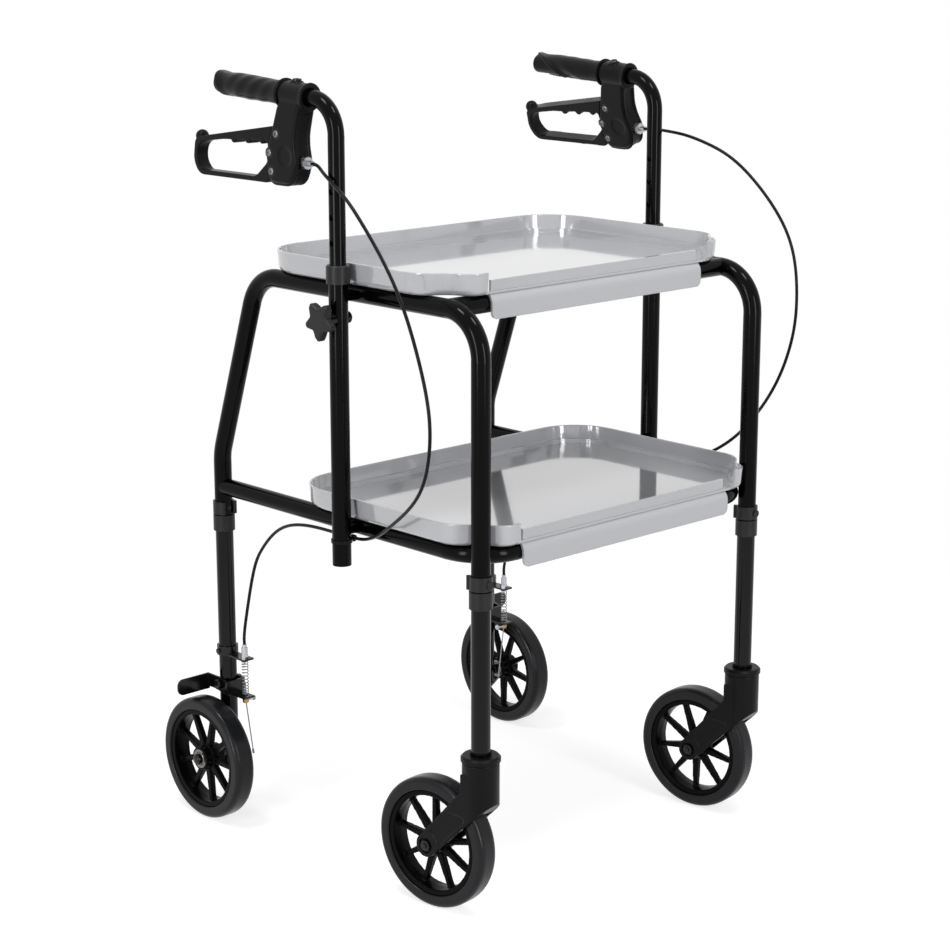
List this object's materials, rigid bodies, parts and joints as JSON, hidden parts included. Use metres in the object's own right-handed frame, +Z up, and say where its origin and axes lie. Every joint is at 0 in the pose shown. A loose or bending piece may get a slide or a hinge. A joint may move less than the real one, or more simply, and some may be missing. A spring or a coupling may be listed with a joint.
{
  "type": "indoor walker with tray",
  "caption": "Indoor walker: bent-tube frame with swivel front casters, braked rear wheels, height-adjustable handles with loop brake levers, and removable upper and lower trays.",
  "frame": {"origin": "on the floor under the middle of the walker's bounding box", "axes": "+Z up, the user stands at +Y and walks towards -Y, +X is the user's left"},
  "size_m": [0.6149, 0.5674, 0.9437],
  "materials": {
    "coated_tube": "gloss",
    "black_hardware": "satin",
    "grey_plastic": "matte",
    "black_plastic": "satin",
    "grip_rubber": "matte",
    "tyre_rubber": "matte",
    "tray_plastic": "gloss",
    "bright_steel": "gloss",
    "spring_steel": "satin",
    "brass": "satin"
  },
  "bodies": {
    "frame": {"side_frame_right": "coated_tube", "side_frame_left": "coated_tube", "top_crossbar": "coated_tube", "lower_rail": "coated_tube", "handle_sleeve_right": "coated_tube", "handle_sleeve_left": "coated_tube", "sleeve_collars": "grey_plastic", "clamp_bolts": "black_hardware", "leg_collars": "grey_plastic", "leg_clips": "grey_plastic", "front_legs": "coated_tube", "rear_legs": "coated_tube", "caster_stems": "black_hardware", "cable_stops": "black_hardware", "cable_ferrules": "bright_steel", "brake_pivot_bolts": "black_hardware", "brake_cable_right": "black_plastic", "brake_cable_left": "black_plastic", "cable_ties": "black_plastic", "rear_axles": "black_hardware", "return_spring_right": "spring_steel", "return_spring_left": "spring_steel"},
    "handle_right": {"handle_tube_right": "coated_tube", "grip_right": "grip_rubber", "lever_housing_right": "black_plastic", "housing_screws_right": "bright_steel", "cable_adjuster_right": "bright_steel"},
    "lever_right": {"brake_lever_right": "black_plastic"},
    "arm_right": {"brake_arm_right": "black_hardware", "cable_anchor_right": "brass"},
    "knob_right": {"star_knob_right": "grey_plastic"},
    "caster_right": {"caster_fork_right": "black_plastic", "caster_cap_right": "black_plastic", "caster_axle_right": "black_hardware"},
    "front_wheel_right": {"wheel_front_right": "black_plastic", "tyre_front_right": "tyre_rubber", "bearings_front_right": "bright_steel"},
    "rear_wheel_right": {"wheel_rear_right": "black_plastic", "tyre_rear_right": "tyre_rubber", "bearings_rear_right": "bright_steel"},
    "handle_left": {"handle_tube_left": "coated_tube", "grip_left": "grip_rubber", "lever_housing_left": "black_plastic", "housing_screws_left": "bright_steel", "cable_adjuster_left": "bright_steel"},
    "lever_left": {"brake_lever_left": "black_plastic"},
    "arm_left": {"brake_arm_left": "black_hardware", "cable_anchor_left": "brass"},
    "knob_left": {"star_knob_left": "grey_plastic"},
    "caster_left": {"caster_fork_left": "black_plastic", "caster_cap_left": "black_plastic", "caster_axle_left": "black_hardware"},
    "front_wheel_left": {"wheel_front_left": "black_plastic", "tyre_front_left": "tyre_rubber", "bearings_front_left": "bright_steel"},
    "rear_wheel_left": {"wheel_rear_left": "black_plastic", "tyre_rear_left": "tyre_rubber", "bearings_rear_left": "bright_steel"},
    "tray_upper": {"tray_upper": "tray_plastic"},
    "tray_lower": {"tray_lower": "tray_plastic"}
  },
  "joints": [
    {"name": "handle_right_slide", "type": "slide", "parent": "frame", "child": "handle_right", "axis": [0, 0, 1], "range_m": [-0.1425, 0.057], "deforming": ["brake_cable_right"]},
    {"name": "lever_right_squeeze", "type": "hinge", "parent": "handle_right", "child": "lever_right", "pos_m": [-0.262, 0.02759, 0.87721], "axis": [1, 0, 0], "range_deg": [0, 15]},
    {"name": "arm_right_press", "type": "hinge", "parent": "frame", "child": "arm_right", "pos_m": [-0.2273, 0.2053, 0.17], "axis": [1, 0, 0], "range_deg": [-10, 0], "stiffness_Nm_per_rad": 1, "springref_deg": 5.73, "deforming": ["return_spring_right"]},
    {"name": "knob_right_turn", "type": "hinge", "parent": "frame", "child": "knob_right", "pos_m": [-0.287, -0.0641, 0.676], "axis": [-1, 0, 0], "range_deg": [0, 540]},
    {"name": "caster_right_swivel", "type": "hinge", "parent": "frame", "child": "caster_right", "pos_m": [-0.2273, -0.2607, 0.176], "axis": [0, 0, 1], "continuous": true},
    {"name": "front_wheel_right_roll", "type": "hinge", "parent": "caster_right", "child": "front_wheel_right", "pos_m": [-0.23522, -0.19618, 0.0784], "axis": [0.9925, 0.1219, 0], "continuous": true},
    {"name": "rear_wheel_right_roll", "type": "hinge", "parent": "frame", "child": "rear_wheel_right", "pos_m": [-0.2617, 0.2053, 0.0784], "axis": [1, 0, 0], "continuous": true},
    {"name": "handle_left_slide", "type": "slide", "parent": "frame", "child": "handle_left", "axis": [0, 0, 1], "range_m": [-0.1425, 0.057], "deforming": ["brake_cable_left"]},
    {"name": "lever_left_squeeze", "type": "hinge", "parent": "handle_left", "child": "lever_left", "pos_m": [0.2791, 0.0274, 0.88053], "axis": [0.9272, -0.0209, 0.374], "range_deg": [0, 15]},
    {"name": "arm_left_press", "type": "hinge", "parent": "frame", "child": "arm_left", "pos_m": [0.2273, 0.2053, 0.17], "axis": [1, 0, 0], "range_deg": [-10, 0], "stiffness_Nm_per_rad": 1, "springref_deg": 5.73, "deforming": ["return_spring_left"]},
    {"name": "knob_left_turn", "type": "hinge", "parent": "frame", "child": "knob_left", "pos_m": [0.287, -0.0641, 0.676], "axis": [1, 0, 0], "range_deg": [0, 540]},
    {"name": "caster_left_swivel", "type": "hinge", "parent": "frame", "child": "caster_left", "pos_m": [0.2273, -0.2607, 0.176], "axis": [0, 0, 1], "continuous": true},
    {"name": "front_wheel_left_roll", "type": "hinge", "parent": "caster_left", "child": "front_wheel_left", "pos_m": [0.21938, -0.19618, 0.0784], "axis": [0.9925, 0.1219, 0], "continuous": true},
    {"name": "rear_wheel_left_roll", "type": "hinge", "parent": "frame", "child": "rear_wheel_left", "pos_m": [0.2617, 0.2053, 0.0784], "axis": [1, 0, 0], "continuous": true},
    {"name": "tray_upper_lift", "type": "slide", "parent": "frame", "child": "tray_upper", "axis": [0, 0, 1], "range_m": [0, 0.15]},
    {"name": "tray_lower_lift", "type": "slide", "parent": "frame", "child": "tray_lower", "axis": [0, 0, 1], "range_m": [0, 0.1]}
  ],
  "couplings": [
    {"joint": "arm_right_press", "follows": "lever_right_squeeze", "ratio": -0.6666},
    {"joint": "arm_left_press", "follows": "lever_left_squeeze", "ratio": -0.6666}
  ]
}
